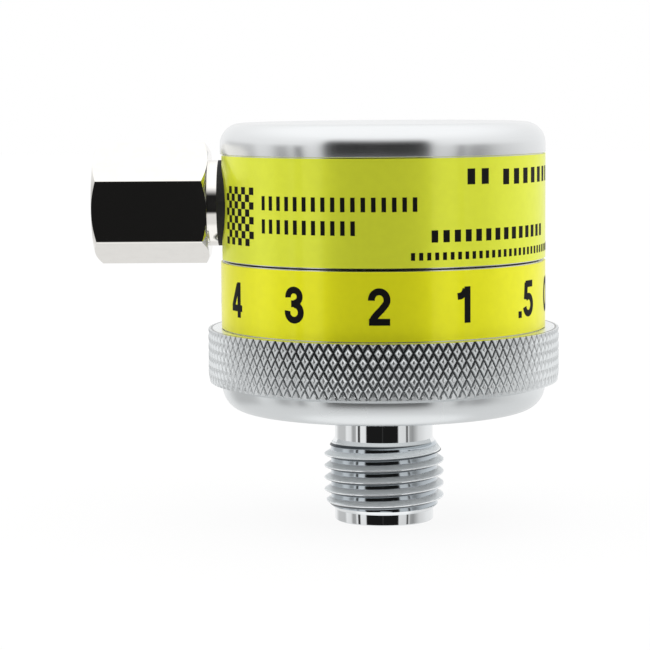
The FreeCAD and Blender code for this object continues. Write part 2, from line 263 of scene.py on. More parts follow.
@dataclass(frozen=True)
class TurnedMetal(Finish):
    """Satin aluminium with the fine rings that the lathe tool left, and painted shade in the grooves where
    it is knurled.
    """

    colour: Colour = (0.80, 0.815, 0.825)
    roughness: float = 0.24
    stretch: float = 0.6
    ring_scale: float = 9000.0
    ring_depth: float = 0.25
    groove_bottom: float = 0.0
    painted_groove_shade: float = 0.0

    def inputs(self, graph: Graph) -> dict[str, object]:
        """Metal whose highlights spread across the rings; the rings are noise in radius and height."""
        place = graph.place()
        x, y, z = graph.split(place)
        radius = graph.from_axis(x, y)
        rings = graph.noise(graph.join(x * 0.02, y * 0.02, radius), self.ring_scale, 2.0, z)
        smudges = graph.noise(place, 90.0, 3.0)
        tone = 0.97 + rings * 0.06
        colour = graph.blend(tone.step(0.9, 1.1), opaque(self.colour, 0.94), opaque(self.colour))
        # Painted shade: the knurl's grooves are darkened in the base colour towards their roots, standing in
        # for the shade in them.
        if self.painted_groove_shade:
            groove = self.groove(radius, z) * self.painted_groove_shade
            colour = graph.blend(groove, colour, opaque(self.colour, 0.06))
        return {
            "Base Color": colour,
            "Metallic": 1.0,
            "Roughness": self.roughness + (smudges - 0.5) * 0.08,
            "Anisotropic": self.stretch,
            "Anisotropic Rotation": 0.25,
            "Normal": graph.bump(rings, self.ring_depth, 6e-6),
        }

    def groove(self, radius: Socket, z: Socket) -> Socket:
        """Mask of the painted shade in the knurl's grooves: it rises from the crests to the roots and ends
        inside them.
        """
        deep = KNURL_CREST - KNURL_ROOT
        low, high = KNURL_ROOT + 0.08 * deep, KNURL_ROOT + 0.62 * deep
        mask = radius.step(low * MM, high * MM, 1.0, 0.0)
        mask = mask * radius.step((KNURL_ROOT - 0.1) * MM, (KNURL_ROOT - 0.05) * MM)
        return mask * z.step(self.groove_bottom * MM, (self.groove_bottom + 0.2) * MM)


@dataclass(frozen=True)
class PlatedMetal(Finish):
    """Bright plating with the slight ripple of the polished metal under it."""

    colour: Colour
    roughness: float
    ripple: float = 0.04

    def inputs(self, graph: Graph) -> dict[str, object]:
        """Mirror metal with a shallow ripple and faint hazy patches."""
        place = graph.place()
        ripple = graph.noise(place, 260.0, 2.0)
        haze = graph.noise(place, 700.0, 4.0)
        return {
            "Base Color": graph.blend(haze.step(0.35, 0.75), opaque(self.colour), opaque(self.colour, 0.97)),
            "Metallic": 1.0,
            "Roughness": self.roughness + haze.step(0.4, 0.9) * 0.03,
            "Normal": graph.bump(ripple, self.ripple, 4e-5),
        }


@dataclass(frozen=True)
class PrintedFilm(Finish):
    """Glossy yellow film on a bright backing."""

    colour: Colour
    gloss_tint: Colour
    backing: float = 0.42

    def inputs(self, graph: Graph) -> dict[str, object]:
        """Yellow ink that partly shines like metal, with a gloss of its own colour and a faint ripple."""
        place = graph.place()
        mottle = graph.noise(place, 900.0, 3.0)
        ripple = graph.noise(place, 420.0, 1.0)
        return {
            "Base Color": graph.blend(mottle.step(0.3, 0.7), opaque(self.colour), opaque(self.colour, 0.97)),
            "Metallic": self.backing,
            "Roughness": 0.34 + (mottle - 0.5) * 0.06,
            "Specular Tint": opaque(self.gloss_tint),
            "Coat Weight": 0.32,
            "Coat Roughness": 0.05,
            "Normal": graph.bump(ripple, 0.08, 3e-5),
        }


@dataclass(frozen=True)
class PrintingInk(Finish):
    """Ink that lies on the film."""

    colour: Colour = (0.002, 0.002, 0.002)

    def inputs(self, graph: Graph) -> dict[str, object]:
        """Near-black ink with a slightly uneven sheen."""
        grain = graph.noise(graph.place(), 3000.0, 2.0)
        return {
            "Base Color": graph.blend(grain, opaque(self.colour), opaque(self.colour, lift=0.003)),
            "Roughness": 0.5 + grain * 0.1,
            "Specular IOR Level": 0.12,
            "Normal": graph.bump(grain, 0.1, 5e-6),
        }


@dataclass(frozen=True)
class ThreadedPlating(Finish):
    """Bright plating with painted shade under a thread's crests and in its roots; it is dull on its upper
    flanks.
    """

    colour: Colour
    flank_colour: Colour
    root_painted_shade: Colour
    under_painted_shade: Colour
    bottom: float
    top: float
    inside: float
    roughness: float = 0.045
    flank_roughness: float = 0.40
    flank_metal: float = 0.35

    def inputs(self, graph: Graph) -> dict[str, object]:
        """Plating whose place below the thread's crest, in pitches, tells the flanks from the root.

        The drop below a crest is the distance down to the point, less the part of a pitch that the helix
        has climbed by its angle, and only its fraction counts. The zone keeps it to the thread's height and
        to radii outside the bore.
        """
        place = graph.place()
        x, y, z = graph.split(place)
        climbed = y.maths("ARCTAN2", y, x) / TURN - 0.5
        drop = ((CREST_HEIGHT * MM - z) / (THREAD_PITCH * MM) + climbed).fraction()
        zone = z.step((self.bottom - 0.04) * MM, (self.bottom + 0.04) * MM)
        zone = zone * z.step((self.top - 0.3) * MM, self.top * MM, 1.0, 0.0)
        zone = zone * graph.from_axis(x, y).step((self.inside - 0.1) * MM, self.inside * MM)
        under = zone * drop.step(0.015, 0.05) * drop.step(0.24, 0.29, 1.0, 0.0)
        root = zone * drop.step(0.24, 0.29) * drop.step(0.585, 0.61, 1.0, 0.0)
        flank = zone * drop.step(0.585, 0.62) * drop.step(0.93, 0.975, 1.0, 0.0)
        grain = graph.noise(place, 6500.0, 3.0)
        ripple = graph.noise(place, 260.0, 2.0)
        # Painted shade: the root and the short flank under each crest take darker colours, standing in for
        # the shade there.
        colour = graph.blend(flank, opaque(self.colour), opaque(self.flank_colour))
        colour = graph.blend(root, colour, opaque(self.root_painted_shade))
        colour = graph.blend(under, colour, opaque(self.under_painted_shade))
        extra = self.flank_roughness - self.roughness + (grain - 0.5) * 0.2
        return {
            "Base Color": colour,
            "Metallic": 1.0 - flank * (1.0 - self.flank_metal),
            "Roughness": self.roughness + flank * extra + root * 0.05 + under * 0.30,
            "Normal": graph.bump(ripple * 0.12 + flank * grain * 0.5, 1.0, 4e-5),
        }


@dataclass(frozen=True)
class GrainedSolid(Finish):
    """Plain material with a fine grain: rubber, plastic, spring steel or sintered bronze."""

    colour: Colour
    metallic: float
    roughness: float
    grain_scale: float
    grain_depth: float

    def inputs(self, graph: Graph) -> dict[str, object]:
        """One colour that a fine grain lightens, roughens and embosses."""
        grain = graph.noise(graph.place(), self.grain_scale, 3.0)
        light = opaque(self.colour, 1.15, 0.004)
        return {
            "Base Color": graph.blend(grain.step(0.35, 0.65), opaque(self.colour), light),
            "Metallic": self.metallic,
            "Roughness": self.roughness + (grain - 0.5) * 0.12,
            "Normal": graph.bump(grain, self.grain_depth, 2e-5),
        }


CASE_METAL = TurnedMetal("case_metal")
DIAL_METAL = TurnedMetal(
    "dial_metal",
    colour=(0.80, 0.825, 0.835),
    roughness=0.27,
    stretch=0.7,
    groove_bottom=16.8,
    # Share of the painted shade that darkens the knurl's grooves.
    painted_groove_shade=0.85,
)
CHROME = ThreadedPlating(
    "chromed_brass",
    colour=(0.86, 0.88, 0.89),
    flank_colour=(0.92, 0.96, 0.98),
    # The root and under-crest colours are painted shade.
    root_painted_shade=(0.54, 0.59, 0.63),
    under_painted_shade=(0.07, 0.08, 0.09),
    bottom=1.74,
    top=9.60,
    inside=6.1,
)
NICKEL = PlatedMetal("bright_nickel", (0.90, 0.88, 0.84), 0.05)
CASE_FILM = PrintedFilm("case_film", (0.83, 0.90, 0.050), (1.0, 1.0, 0.45))
DIAL_FILM = PrintedFilm("dial_film", (0.95, 0.94, 0.020), (1.0, 0.96, 0.12))
INK = PrintingInk("black_ink")
RUBBER = GrainedSolid("black_rubber", (0.010, 0.010, 0.011), 0.0, 0.65, 2500.0, 0.3)
STEEL = GrainedSolid("bright_steel", (0.60, 0.60, 0.61), 1.0, 0.22, 4000.0, 0.1)
SPRING_STEEL = GrainedSolid("spring_steel", (0.50, 0.50, 0.52), 1.0, 0.30, 4000.0, 0.1)
BRONZE = GrainedSolid("sintered_bronze", (0.60, 0.42, 0.22), 1.0, 0.50, 5000.0, 0.8)
WHITE_PLASTIC = GrainedSolid("white_plastic", (0.85, 0.85, 0.83), 0.0, 0.45, 2500.0, 0.2)


# Meshes


class MeshMaker:
    """Gathers vertices and faces in millimetres and makes one welded object of them."""

    def __init__(self, name: str) -> None:
        """Start an empty mesh."""
        self.name = name
        self.points: list[np.ndarray] = []
        self.faces: list[np.ndarray] = []
        self.count = 0

    def add(self, points: np.ndarray) -> np.ndarray:
        """Add points.

        Args:
            points: array whose last axis is x, y and z.

        Returns:
            Their indices, shaped as the points are.
        """
        index = self.count + np.arange(points[..., 0].size).reshape(points.shape[:-1])
        self.points.append(points.reshape(-1, 3))
        self.count += index.size
        return index

    def quads(self, index: np.ndarray, wrap_rows: bool = False, wrap_columns: bool = False) -> None:
        """Join a grid of indices with two triangles a cell, split from low left to high right."""
        self.cells(index, np.ones(index.shape, bool), wrap_rows, wrap_columns)

    def cells(self, index: np.ndarray, rising: np.ndarray, wrap_rows: bool, wrap_columns: bool) -> None:
        """Join a grid of indices with two triangles a cell.

        Args:
            index: rows along the first direction, columns along the second.
            rising: whether a cell is split from its low left to its high right corner.
            wrap_rows: whether the last row joins the first.
            wrap_columns: whether the last column joins the first.
        """
        if wrap_rows:
            index = np.vstack([index, index[:1]])
        if wrap_columns:
            index = np.hstack([index, index[:, :1]])
        low_left, low_right = index[:-1, :-1].ravel(), index[:-1, 1:].ravel()
        high_left, high_right = index[1:, :-1].ravel(), index[1:, 1:].ravel()
        rise = rising[: index.shape[0] - 1, : index.shape[1] - 1].ravel()[:, None]
        first = np.where(
            rise,
            np.stack([low_left, low_right, high_right], 1),
            np.stack([low_left, low_right, high_left], 1),
        )
        second = np.where(
            rise,
            np.stack([low_left, high_right, high_left], 1),
            np.stack([low_right, high_right, high_left], 1),
        )
        self.faces += [first, second]

    def fan(self, fine: np.ndarray, coarse: np.ndarray, turn: int = 1) -> None:
        """Join a fine closed ring of indices to a coarse one that divides it evenly.

        Args:
            fine: indices of the fine ring.
            coarse: indices of the coarse ring, starting at the same angle.
            turn: 1 when the coarse ring is above the fine one, -1 when it is below.
        """
        ratio = fine.size // coarse.size
        half = ratio // 2
        following = np.roll(coarse, -1)
        first_half = np.arange(fine.size) % ratio < half
        owner = np.where(first_half, np.repeat(coarse, ratio), np.repeat(following, ratio))
        self.faces.append(np.stack([fine, np.roll(fine, -1), owner], 1)[:, ::turn])
        self.faces.append(np.stack([fine[half::ratio], following, coarse], 1)[:, ::turn])

    def object(self, sharp: float = SHARP_ANGLE) -> bpy.types.Object:
        """Make the object, with faces outwards, shared points welded and sharp edges kept.

        Args:
            sharp: angle in degrees above which an edge stays sharp.

        Returns:
            The new object.
        """
        mesh = bpy.data.meshes.new(self.name)
        points = np.concatenate(self.points) * MM
        faces = np.concatenate(self.faces)
        a, b, c = points[faces[:, 0]], points[faces[:, 1]], points[faces[:, 2]]
        if np.einsum("ij,ij->i", a, np.cross(b, c)).sum() < 0:
            faces = faces[:, ::-1]
        mesh.from_pydata(points, [], faces.tolist())
        shell = bmesh.new()
        shell.from_mesh(mesh)
        bmesh.ops.remove_doubles(shell, verts=shell.verts, dist=WELD)
        bmesh.ops.dissolve_degenerate(shell, edges=shell.edges, dist=WELD)
        shell.to_mesh(mesh)
        shell.free()
        mesh.polygons.foreach_set("use_smooth", np.ones(len(mesh.polygons), bool))
        mesh.set_sharp_from_angle(angle=math.radians(sharp))
        mesh.update()
        made = bpy.data.objects.new(self.name, mesh)
        bpy.context.scene.collection.objects.link(made)
        return made


def circle(count: int) -> np.ndarray:
    """Evenly spaced angles of a full turn."""
    return np.arange(count) * TURN / count


def arc(
    centre: tuple[float, float], reach: tuple[float, float], start: float, end: float, steps: int
) -> Line:
    """Part of an ellipse: the centre plus each reach times the cosine or sine, from start to end degrees."""
    angles = np.radians(np.linspace(start, end, steps))
    return list(zip(centre[0] + reach[0] * np.cos(angles), centre[1] + reach[1] * np.sin(angles)))


def rod(radius: float, start: float, end: float) -> Line:
    """Section of a rod between two places on its axis."""
    return [(0.0, start), (radius, start), (radius, end), (0.0, end)]


def about_z(radius: np.ndarray, height: np.ndarray, angle: np.ndarray) -> np.ndarray:
    """Points at radius and height turned about the dial's axis."""
    radius, height, angle = np.broadcast_arrays(radius, height, angle)
    return np.stack([radius * np.cos(angle), radius * np.sin(angle), height], -1)


def about_x(radius: np.ndarray, along: np.ndarray, angle: np.ndarray) -> np.ndarray:
    """Points at radius and place along the inlet's axis, turned about it."""
    radius, along, angle = np.broadcast_arrays(radius, along, angle)
    return np.stack([along, radius * np.cos(angle), INLET_HEIGHT + radius * np.sin(angle)], -1)


def turned(name: str, outline: Line, columns: int, about: Turning = about_z) -> MeshMaker:
    """Carry a closed outline of radius and place along the axis round the dial's or the inlet's axis."""
    section = np.array(outline)
    maker = MeshMaker(name)
    points = about(section[:, :1], section[:, 1:], circle(columns)[None, :])
    maker.quads(maker.add(points), wrap_rows=True, wrap_columns=True)
    return maker


def cut_away(body: bpy.types.Object, cutters: list[bpy.types.Object]) -> None:
    """Take the cutters out of the body and delete them."""
    for cutter in cutters:
        modifier = body.modifiers.new("cut", "BOOLEAN")
        modifier.operation = "DIFFERENCE"
        modifier.solver = "EXACT"
        modifier.object = cutter
    bpy.context.view_layer.update()
    graph = bpy.context.evaluated_depsgraph_get()
    mesh = bpy.data.meshes.new_from_object(body.evaluated_get(graph))
    body.modifiers.clear()
    old = body.data
    body.data = mesh
    mesh.name = body.name
    bpy.data.meshes.remove(old)
    for cutter in cutters:
        bpy.data.objects.remove(cutter)
    mesh.set_sharp_from_angle(angle=math.radians(SHARP_ANGLE))


class Body(Enum):
    """Bodies that move on their own."""

    CASE = "case"
    DIAL = "dial"
    BALL_FRONT = "ball_front"
    BALL_REAR = "ball_rear"


def dress(
    piece: bpy.types.Object, finish: bpy.types.Material, body: Body, node: str | None = None
) -> None:
    """Give a piece its finish and hand it to the frame.

    Args:
        piece: the finished mesh object.
        finish: its material.
        body: the body that it moves with.
        node: the CAD node that it stands for.
    """
    piece.data.materials.clear()
    piece.data.materials.append(finish)
    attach(piece, body.value)
    if node:
        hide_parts(node)
    LOG.info("%s: %d faces", piece.name, len(piece.data.polygons))


# Case


@dataclass
class Case:
    """Turned housing with its spigot, gas passages and detent bores."""

    body_radius: float = BODY_RADIUS
    band_radius: float = BAND_RADIUS
    lower_edge: float = 31.10
    cap_step: float = 43.35
    cap_fillet: float = 2.5
    top: float = 46.95
    edge_break: float = 0.12
    spigot_radius: float = 15.2
    nose_radius: float = 13.55
    nose_height: float = 0.8
    screw_hole: float = 4.02
    screw_depth: float = 9.0
    drill_tip: float = 2.01
    face_radius: float = 5.35
    face_place: float = -18.2
    port_end: float = -10.6
    drilling_radius: float = 2.2
    drilling_end: float = -7.1
    passage_radius: float = 1.5
    pocket_radius: float = 2.64
    pocket_depth: float = 4.6
    pocket_place: float = -8.6
    ball_bore: float = 1.29
    ball_depth: float = 7.0
    ball_track: float = 11.9
    columns: int = 288

    def outline(self) -> Line:
        """Section of the housing from the middle of its top, round the outside and up the screw hole."""
        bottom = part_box("housing")[0].z / MM
        screw_top = bottom + self.screw_depth
        edge = self.edge_break
        centre = (self.body_radius - self.cap_fillet, self.top - self.cap_fillet)
        return [
            (0.0, self.top),
            (centre[0] - 0.02, self.top),
            *arc(centre, (self.cap_fillet,) * 2, 90, 0, 17),
            *arc((self.body_radius - edge, self.cap_step + edge), (edge, edge), 0, -90, 4),
            (self.band_radius, self.cap_step),
            (self.band_radius, self.lower_edge),
            (self.spigot_radius, self.lower_edge),
            (self.spigot_radius, bottom + self.nose_height),
            (self.nose_radius, bottom + self.nose_height),
            (self.nose_radius, bottom),
            (self.screw_hole, bottom),
            (self.screw_hole, screw_top),
            (0.0, screw_top + self.drill_tip),
        ]

    def build(self, metal: bpy.types.Material) -> None:
        """Turn the housing, cut its port, passage, pocket and detent bores, and dress it."""
        shell = turned("housing_shell", self.outline(), self.columns).object()
        cut_away(shell, self.cutters())
        dress(shell, metal, Body.CASE, "housing")

    def cutters(self) -> list[bpy.types.Object]:
        """Tools for the spot face, the tapped port, the drilling, the seat's pocket and the detent bores.

        A level tool has a radius and two ends on the inlet's axis, the outer one inside the tool before it.
        An upright one starts below the housing and has a radius, a top and the place where it stands.
        """
        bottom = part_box("housing")[0].z / MM
        level = [
            ("cut_face", self.face_radius, -22.0, self.face_place),
            ("cut_port", self.screw_hole, -18.5, self.port_end),
            ("cut_drill", self.drilling_radius, -12.0, self.drilling_end),
        ]
        upright = [
            ("cut_passage", self.passage_radius, INLET_HEIGHT, self.pocket_place, 0.0),
            ("cut_pocket", self.pocket_radius, bottom + self.pocket_depth, self.pocket_place, 0.0),
            ("cut_front", self.ball_bore, bottom + self.ball_depth, 0.0, -self.ball_track),
            ("cut_rear", self.ball_bore, bottom + self.ball_depth, 0.0, self.ball_track),
        ]
        made = [turned(name, rod(*sizes), 64, about_x).object() for name, *sizes in level]
        for name, radius, high, x, y in upright:
            maker = turned(name, rod(radius, bottom - 1.0, high), 48)
            maker.points = [points + np.array([x, y, 0.0]) for points in maker.points]
            made.append(maker.object())
        return made



@dataclass
class CaseBand:
    """Printed film round the housing, open at the inlet and cut round its washer."""

    inner: float = FILM_BACK
    outer: float = BODY_RADIUS
    bottom: float = 31.20
    top: float = 43.25
    end_angle: float = 11.5
    hole_radius: float = 5.7
    columns: int = 300
    hole_rows: int = 76
    plain_rows: int = 12

    def end(self, height: np.ndarray) -> np.ndarray:
        """Angle from the inlet to the film's straight end, or to the round cut if that reaches further."""
        reach = np.sqrt(np.maximum(self.hole_radius ** 2 - (height - INLET_HEIGHT) ** 2, 0.0))
        return np.maximum(math.radians(self.end_angle), np.arcsin(reach / self.outer))

    def build(self, film: bpy.types.Material) -> None:
        """Make the film.

        The angle runs evenly between the film's two ends at every height, out on one face and back on the
        other, and the rows lie closest at the round cut's top and bottom, where its edge runs level.
        """
        quarter = math.pi / 2
        rise = INLET_HEIGHT + self.hole_radius * np.sin(np.linspace(-quarter, quarter, self.hole_rows))
        height = np.sort(np.concatenate([rise, np.linspace(self.bottom, self.top, self.plain_rows)]))
        height = height[(height >= self.bottom) & (height <= self.top)]
        half = height.size
        share = np.linspace(0.0, 1.0, self.columns)[None, :]
        start = self.end(height)[:, None]
        angle = math.pi + start + share * (TURN - 2 * start)
        loop_height = np.concatenate([height, height[::-1]])[:, None]
        loop_radius = np.repeat([self.outer, self.inner], half)[:, None]
        maker = MeshMaker("case_film_band")
        index = maker.add(about_z(loop_radius, loop_height, np.vstack([angle, angle[::-1]])))
        maker.quads(index, wrap_rows=True)
        for column, turn in ((0, 1), (-1, -1)):
            ends = np.stack([index[:half, column], index[half:, column][::-1]], 1)
            maker.quads(ends[:, ::turn])
        dress(maker.object(), film, Body.CASE, "housing_label")


# Dial


@dataclass
class Dial:
    """Turned dial with a diamond knurl that two crossed sets of helical grooves leave."""

    body_radius: float = BODY_RADIUS
    band_radius: float = BAND_RADIUS
    root_radius: float = KNURL_ROOT
    crest_radius: float = KNURL_CREST
    underside: float = 13.40
    skirt_fillet: float = 2.45
    knurl_bottom: float = 16.70
    knurl_top: float = 22.95
    chamfer: float = 0.45
    top_break: float = 0.05
    top: float = 30.90
    diamonds: int = 114
    levels: int = 6
    samples: int = 6
    flat_share: float = 0.15
    bulge: float = 1.5
    edge_cut: float = 0.16
    edge_cut_height: float = 0.95
    shallow: float = 0.35
    coarse: int = 228

    def knurl_radius(self, column: np.ndarray, level: np.ndarray) -> np.ndarray:
        """Radius over the knurl.

        A groove runs where column minus level, or column plus level, is an even number. The height is the
        distance to the nearest groove, bulging a little and cut off where the diamonds end in small flats.
        The grooves grow shallower and narrower towards the bottom.
        """
        first = np.abs((column - level + 1) % 2 - 1)
        second = np.abs((column + level) % 2 - 1)
        nearest = np.minimum(first, 1 - second)
        less = self.shallow * (1 - level / self.levels) ** 2
        rise = 1 - (1 - np.minimum(nearest / (1 - self.flat_share - less), 1.0)) ** self.bulge
        return self.crest_radius - (self.crest_radius - self.root_radius) * (1 - less) * (1 - rise)

    def build(self, metal: bpy.types.Material) -> None:
        """Make the knurled rim on a fine grid and the rest on a coarse one, joined by fans."""
        maker = MeshMaker("dial_shell")
        fine_count = 2 * self.diamonds * self.samples
        column = np.arange(fine_count) / self.samples
        fine_angle = column * TURN / (2 * self.diamonds)
        level = np.arange(self.levels * self.samples + 1) / self.samples
        height = self.knurl_bottom + level * (self.knurl_top - self.knurl_bottom) / self.levels
        knurl = self.knurl_radius(column[None, :], level[:, None])
        low_share = (height - self.knurl_bottom) / self.edge_cut_height
        bottom_cone = self.crest_radius - self.edge_cut * (1 - low_share)
        top_cone = self.crest_radius - self.top_break + (self.knurl_top - height)
        radius = np.minimum(knurl, np.minimum(bottom_cone, top_cone)[:, None])
        rim = maker.add(about_z(radius, height[:, None], fine_angle[None, :]))
        rising = (np.floor(column)[None, :] + np.floor(level)[:, None]).astype(int) % 2 == 0
        maker.cells(rim, rising, False, True)
        self.add_turned(maker, rim)
        dress(maker.object(), metal, Body.DIAL, "dial")

    def add_turned(self, maker: MeshMaker, rim: np.ndarray) -> None:
        """Add the skirt, underside, bores, cup and band below and above the knurled rim."""
        angle = circle(self.coarse)[None, :]
        sections = np.array(self.rest_outline())
        index = maker.add(about_z(sections[:, :1], sections[:, 1:], angle))
        maker.quads(index, wrap_columns=True)
        maker.fan(rim[-1], index[0])
        maker.fan(rim[0], index[-1], -1)

    def rest_outline(self) -> Line:
        """Section from the knurl's top over the band, down the bores, round the skirt, up to the knurl."""
        z_hub, z_plenum, z_plate, z_plate_top, z_ring_top = 15.62, 19.02, 21.22, 22.22, 23.04
        cup, ring_groove, plenum, hub_bore, recess = 15.3, 15.99, 13.3, 5.04, 7.7
        rim_break, recess_break = 0.3, 0.25
        reach = (self.skirt_fillet, self.knurl_bottom - self.chamfer - self.underside)
        return [
            (self.root_radius - 0.25, self.knurl_top + 0.02),
            (self.band_radius, self.knurl_top + 0.02),
            (self.band_radius, self.top),
            (cup + rim_break, self.top),
            (cup, self.top - rim_break),
            (cup, z_ring_top),
            (ring_groove, z_ring_top),
            (ring_groove, z_plate_top),
            (cup, z_plate_top),
            (cup, z_plate),
            (plenum, z_plate),
            (plenum, z_plenum),
            (hub_bore, z_plenum),
            (hub_bore, z_hub),
            (recess, z_hub),
            (recess, self.underside + recess_break),
            (recess + recess_break, self.underside),
            (self.body_radius - reach[0], self.underside),
            *arc((self.body_radius - reach[0], self.underside + reach[1]), reach, -88, 0, 18),
            (self.root_radius - 0.1, self.knurl_bottom - 0.02),
        ]


@dataclass
class DialBand:
    """Printed film round the dial, a plain closed band."""

    inner: float = FILM_BACK
    outer: float = BODY_RADIUS
    bottom: float = 23.05
    top: float = 30.80
    edge: float = 0.03
    columns: int = 288

    def build(self, film: bpy.types.Material) -> None:
        """Turn the band with thin broken edges."""
        outline = [
            (self.inner, self.bottom),
            (self.outer - self.edge, self.bottom),
            (self.outer, self.bottom + self.edge),
            (self.outer, (self.bottom + self.top) / 2),
            (self.outer, self.top - self.edge),
            (self.outer - self.edge, self.top),
            (self.inner, self.top),
        ]
        band = turned("dial_film_band", outline, self.columns).object()
        dress(band, film, Body.DIAL, "dial_label")


# Numerals


def numeral_strokes() -> dict[str, list[Line]]:
    """Middle lines of bold narrow characters in a box 1 high and 0.6 wide."""
    foot, head, left = 0.0825, 0.9175, 0.0825
    low_ring = ((0.30, 0.30), (0.2125, 0.2175))
    return {
        "0": [arc((0.30, 0.5), (0.215, 0.4175), 90, -270, 49)],
        "1": [[(0.36, 0.0), (0.36, 1.0)], [(0.05, 0.735), (0.16, 0.745), (0.25, 0.81), (0.30, 0.93)]],
        "2": [
            arc((0.30, 0.685), (0.2125, 0.2325), 183, -22, 30)
            + [(0.46, 0.545), (0.36, 0.42), (0.24, 0.30), (0.15, 0.19), (0.10, 0.085)],
            [(0.02, foot), (0.595, foot)],
        ],
        "3": [
            arc((0.29, 0.735), (0.19, 0.1825), 190, -88, 30),
            [(0.20, 0.535), (0.37, 0.535)],
            arc((0.295, 0.30), (0.2175, 0.2175), 88, -190, 34),
        ],
        "4": [[(0.44, 0.0), (0.44, 1.0)], [(0.395, 0.93), (0.075, 0.30)], [(0.0, 0.265), (0.62, 0.265)]],
        "5": [
            [(0.125, head), (0.55, head)],
            [(0.165, 0.96), (0.125, 0.49)],
            arc((0.295, 0.325), (0.2175, 0.2425), 132, -168, 34),
        ],
        "6": [
            arc((0.315, 0.66), (0.205, 0.2575), 12, 180, 24) + [(0.1, 0.56), (0.088, 0.45), (0.0875, 0.32)],
            arc(*low_ring, 90, -270, 41),
        ],
        "8": [arc((0.30, 0.735), (0.178, 0.1825), 90, -270, 37), arc(*low_ring, 90, -270, 41)],
        ".": [[(0.0, foot), (0.165, foot)]],
        "O": [arc((0.33, 0.5), (0.245, 0.4175), 90, -270, 49)],
        "F": [[(left, 0.0), (left, 1.0)], [(left, head), (0.53, head)], [(left, 0.52), (0.47, 0.52)]],
    }


USUAL_WIDTH = 0.6
WIDTHS = {".": 0.165, "F": 0.53, "O": 0.66}


@dataclass
class Print:
    """Ink marks laid round a band."""

    name: str
    radius: float = BODY_RADIUS
    depth: float = 0.016
    sunk: float = 0.008
    stride: float = 0.14

    def __post_init__(self) -> None:
        """Start with no marks."""
        self.maker = MeshMaker(self.name)

    def ribbon(self, path: np.ndarray, width: float, angle: float, height: float) -> None:
        """Carry a flat strip along a path on the band.

        The path is read at even steps, each point is moved half a width to either side of it, and x
        becomes an angle round the band while y becomes height.

        Args:
            path: points in millimetres on the unrolled band.
            width: the strip's width.
            angle: where x = 0 lies, in radians.
            height: where y = 0 lies.
        """
        steps = np.hypot(*np.diff(path, axis=0).T)
        along = np.append(0.0, np.cumsum(steps))
        count = max(2, int(np.ceil(along[-1] / self.stride)) + 1)
        even = np.linspace(0.0, along[-1], count)
        line = np.stack([np.interp(even, along, path[:, k]) for k in (0, 1)], 1)
        heading = np.gradient(line, axis=0)
        heading /= np.linalg.norm(heading, axis=1)[:, None]
        side = np.stack([-heading[:, 1], heading[:, 0]], 1) * width / 2
        low, high = self.radius - self.sunk, self.radius + self.depth
        flat = np.stack([line - side, line + side, line + side, line - side], 1)
        depth = np.array([low, low, high, high])[None, :]
        points = about_z(depth, height + flat[..., 1], angle + flat[..., 0] / self.radius)
        index = self.maker.add(points)
        self.maker.quads(index, wrap_columns=True)
        for row, turn in ((0, -1), (-1, 1)):
            corners = index[row][::turn]
            self.maker.faces.append(np.array([corners[[0, 1, 2]], corners[[0, 2, 3]]]))

    def word(self, text: str, size: float, stroke: float, angle: float, height: float) -> None:
        """Write characters centred on an angle and a height.

        Args:
            text: the characters.
            size: their height in millimetres.
            stroke: stroke width in millimetres.
            angle: middle of the word in degrees round the band.
            height: middle of the word.
        """
        strokes = numeral_strokes()
        widths = [WIDTHS.get(letter, USUAL_WIDTH) for letter in text]
        gap = 0.09
        pen = -(sum(widths) + gap * (len(text) - 1)) / 2
        for letter, width in zip(text, widths):
            for line in strokes[letter]:
                path = (np.array(line) + [pen, -0.5]) * size
                self.ribbon(path, stroke, math.radians(angle), height)
            pen += width + gap

    def bar(self, left: float, right: float, height: float, width: float) -> None:
        """Level bar between two angles in degrees."""
        middle = math.radians((left + right) / 2)
        half = math.radians(right - left) / 2 * self.radius
        self.ribbon(np.array([[-half, 0.0], [half, 0.0]]), width, middle, height)

    def finish(self, ink: bpy.types.Material, body: Body, slot: str) -> None:
        """Make the marks one object and dress it."""
        dress(self.maker.object(60.0), ink, body)


@dataclass
class Numerals:
    """Flow settings round the dial's band."""

    size: float = 4.05
    stroke: float = 0.76
    height: float = 26.97
    offset: float = INDEX_ANGLE
    flows: tuple[str, ...] = ("OFF", ".5", "1", "2", "3", "4", "5", "6", "8", "10", "12", "15")

    def build(self, ink: bpy.types.Material) -> None:
        """Write each setting a twelfth of a turn after the one before."""
        marks = Print("dial_numerals")
        for index, flow in enumerate(self.flows):
            marks.word(flow, self.size, self.stroke, self.offset - 30.0 * index, self.height)
        marks.finish(ink, Body.DIAL, "dial_label")


@dataclass(frozen=True)
class DashRow:
    """Row of upright dashes: its first and last angle in degrees, its middle height, and each dash."""

    start: float
    end: float
    height: float
    pitch: float
    width: float
    tall: float


